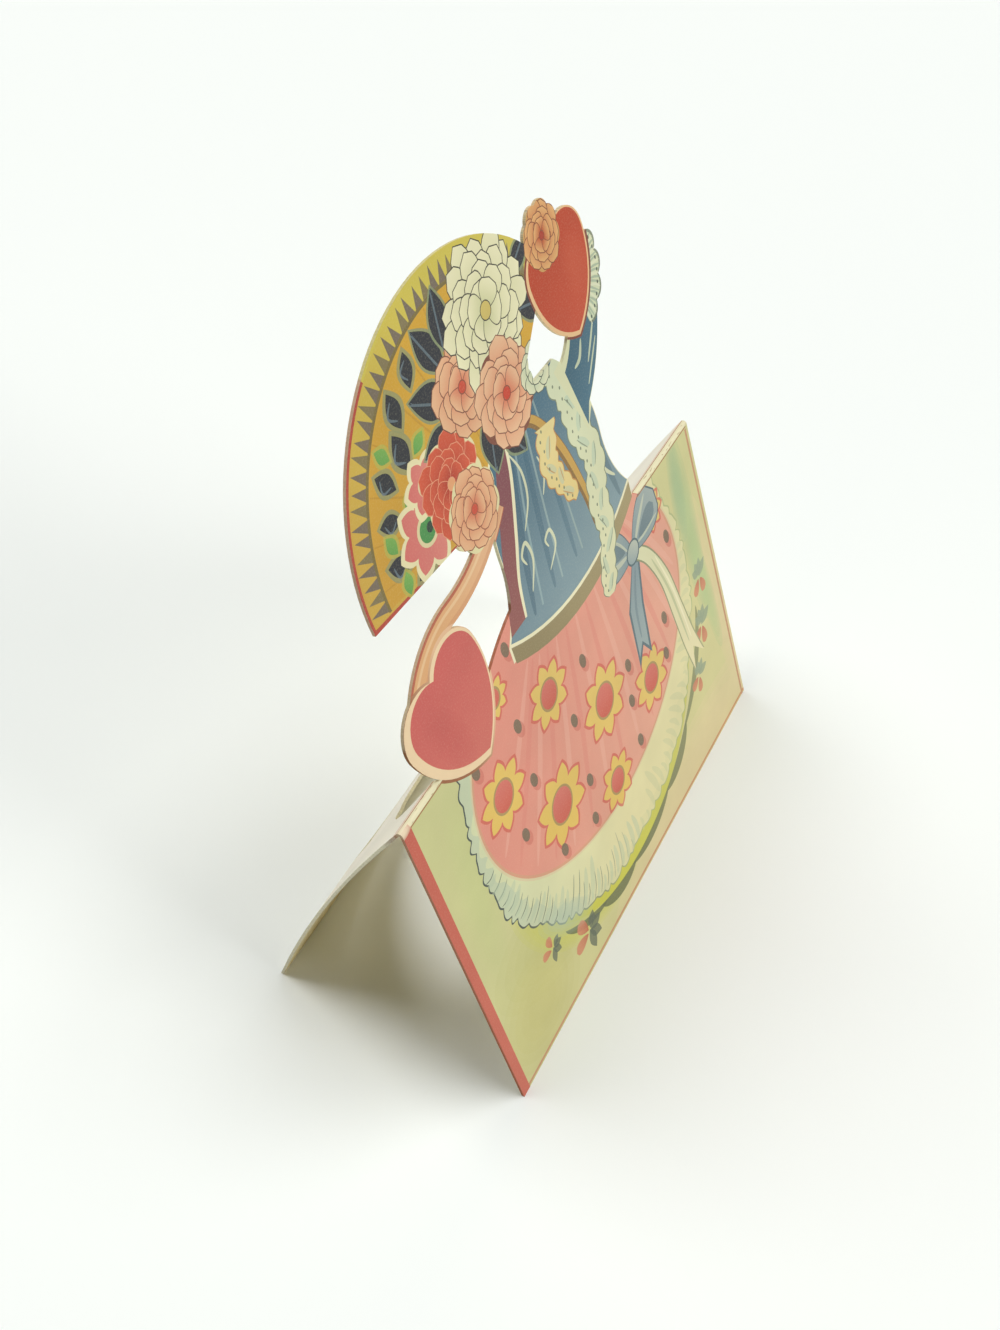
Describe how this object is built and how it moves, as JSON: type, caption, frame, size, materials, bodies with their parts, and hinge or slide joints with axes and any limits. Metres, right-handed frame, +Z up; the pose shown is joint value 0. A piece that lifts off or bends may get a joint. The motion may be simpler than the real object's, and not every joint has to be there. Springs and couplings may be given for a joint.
{
  "type": "stand-up greeting card",
  "caption": "Die-cut folded greeting card: printed front panel with a standing cut-out picture above the crease, and a back panel as easel leg.",
  "frame": {"origin": "middle of the card's box at table level", "axes": "+X left to right as the print is seen, +Y from the printed front to the back panel's foot, +Z up"},
  "size_m": [0.09, 0.0434, 0.1101],
  "materials": {
    "printed_board": "matt lithographic print on cream board"
  },
  "bodies": {
    "root": {"folded_card": "printed_board"}
  },
  "joints": []
}
